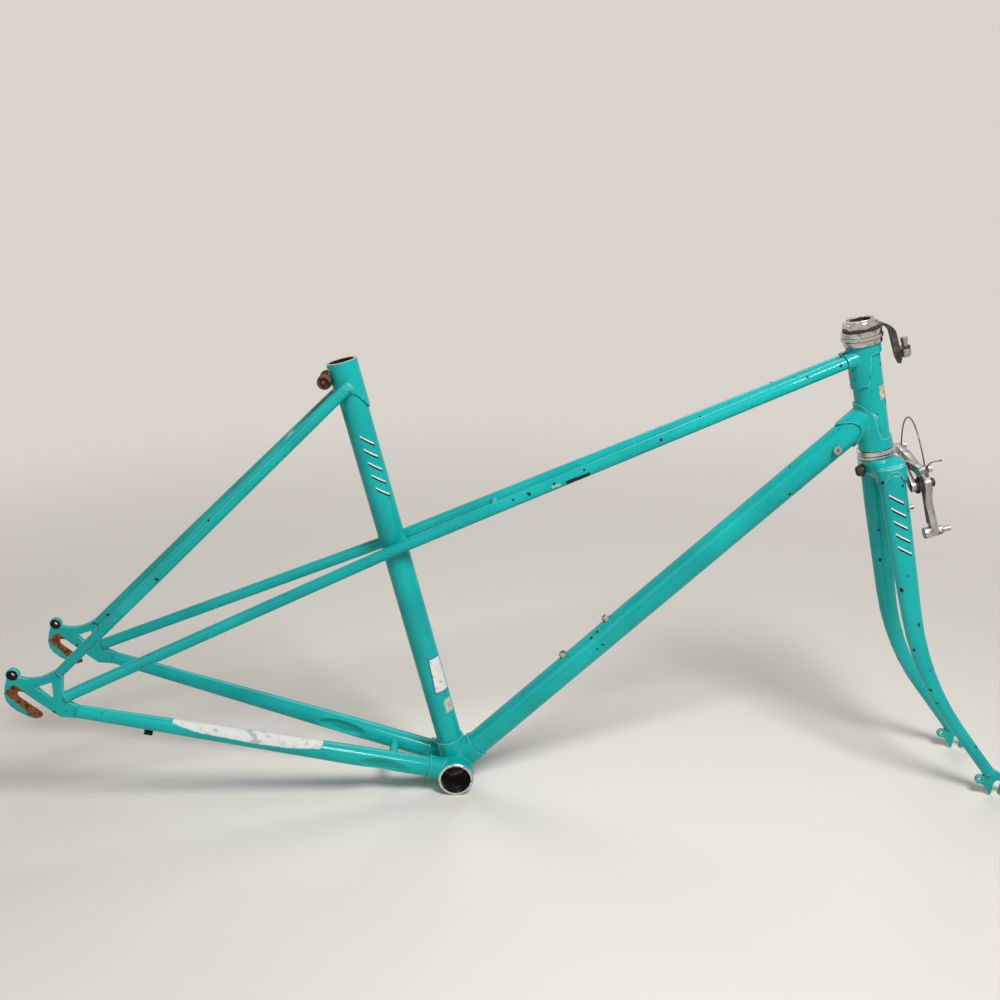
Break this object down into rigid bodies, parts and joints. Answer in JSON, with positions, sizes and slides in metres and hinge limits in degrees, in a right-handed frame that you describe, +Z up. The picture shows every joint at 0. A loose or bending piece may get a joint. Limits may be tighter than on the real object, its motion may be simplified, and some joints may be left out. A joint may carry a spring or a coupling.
{
  "type": "bicycle frame and fork",
  "caption": "Turquoise lugged steel mixte bicycle frame with twin lateral tubes, fork, headset and front centre-pull brake.",
  "frame": {"origin": "centre of the bottom bracket shell, on its axis", "axes": "+X towards the front of the bicycle, +Y to its left, +Z up from the floor that the shell and the fork tips stand on"},
  "size_m": [1.0992, 0.1454, 0.5365],
  "materials": {
    "paint": "glossy, chipped",
    "bare_steel": "dull bright steel",
    "chrome": "plated, worn",
    "alloy": "satin",
    "dark_steel": "dark, oily",
    "rusty_steel": "rusty, rough"
  },
  "bodies": {
    "frame": {"head_tube": "paint", "upper_head_lug": "paint", "lower_head_lug": "paint", "down_tube": "paint", "seat_tube": "paint", "seat_lug": "paint", "lateral_tube_right": "paint", "lateral_tube_left": "paint", "lateral_bridge": "paint", "seat_stay_right": "paint", "seat_stay_left": "paint", "seat_stay_cap_right": "paint", "seat_stay_cap_left": "paint", "seat_stay_bridge": "paint", "chain_stay_right": "paint", "chain_stay_left": "paint", "chain_stay_bridge": "paint", "rear_dropout_right": "paint", "rear_dropout_left": "paint", "bottom_bracket_shell": "paint", "cable_stop": "paint", "bottle_boss_lower": "bare_steel", "bottle_boss_upper": "bare_steel", "shift_boss_right": "bare_steel", "shift_boss_left": "bare_steel", "seat_binder_bolt": "rusty_steel", "seat_binder_nut": "rusty_steel", "lower_headset_cup": "chrome", "upper_headset_cup": "chrome", "lower_ball_ring": "dark_steel", "upper_ball_ring": "dark_steel"},
    "fork": {"steerer_tube": "bare_steel", "fork_crown": "paint", "fork_blade_right": "paint", "fork_blade_left": "paint", "fork_dropout_right": "paint", "fork_dropout_left": "paint", "crown_race": "chrome", "top_race": "chrome", "cable_hanger": "dark_steel", "headset_locknut": "chrome", "brake_bolt": "dark_steel", "brake_nut": "dark_steel", "brake_yoke": "alloy", "pivot_bolt_right": "dark_steel", "pivot_bolt_left": "dark_steel", "pivot_bush_right": "dark_steel", "pivot_bush_left": "dark_steel", "straddle_wire": "bare_steel"},
    "brake_right": {"brake_arm_right": "alloy", "brake_spring_right": "dark_steel", "shoe_bolt_right": "bare_steel", "shoe_nut_right": "bare_steel", "cable_anchor_right": "bare_steel"},
    "brake_left": {"brake_arm_left": "alloy", "brake_spring_left": "dark_steel", "shoe_bolt_left": "bare_steel", "shoe_nut_left": "bare_steel", "cable_anchor_left": "bare_steel"},
    "adjuster": {"adjuster_barrel": "alloy"}
  },
  "joints": [
    {"name": "steering", "type": "hinge", "parent": "frame", "child": "fork", "pos_m": [0.45368, 0, 0.37656], "axis": [-0.2217, 0, 0.9751], "range_deg": [-90, 90]},
    {"name": "brake_right_pivot", "type": "hinge", "parent": "fork", "child": "brake_right", "pos_m": [0.46277, -0.033, 0.33658], "axis": [0.9751, 0, 0.2217], "range_deg": [0, 14], "stiffness_Nm_per_rad": 0.6, "springref_deg": -17.19, "deforming": ["straddle_wire"]},
    {"name": "brake_left_pivot", "type": "hinge", "parent": "fork", "child": "brake_left", "pos_m": [0.46277, 0.033, 0.33658], "axis": [0.9751, 0, 0.2217], "range_deg": [-14, 0], "stiffness_Nm_per_rad": 0.6, "springref_deg": 17.19},
    {"name": "adjuster_travel", "type": "slide", "parent": "fork", "child": "adjuster", "axis": [0.2217, 0, -0.9751], "range_m": [0, 0.004]}
  ],
  "couplings": [
    {"joint": "brake_left_pivot", "follows": "brake_right_pivot", "ratio": -1}
  ]
}
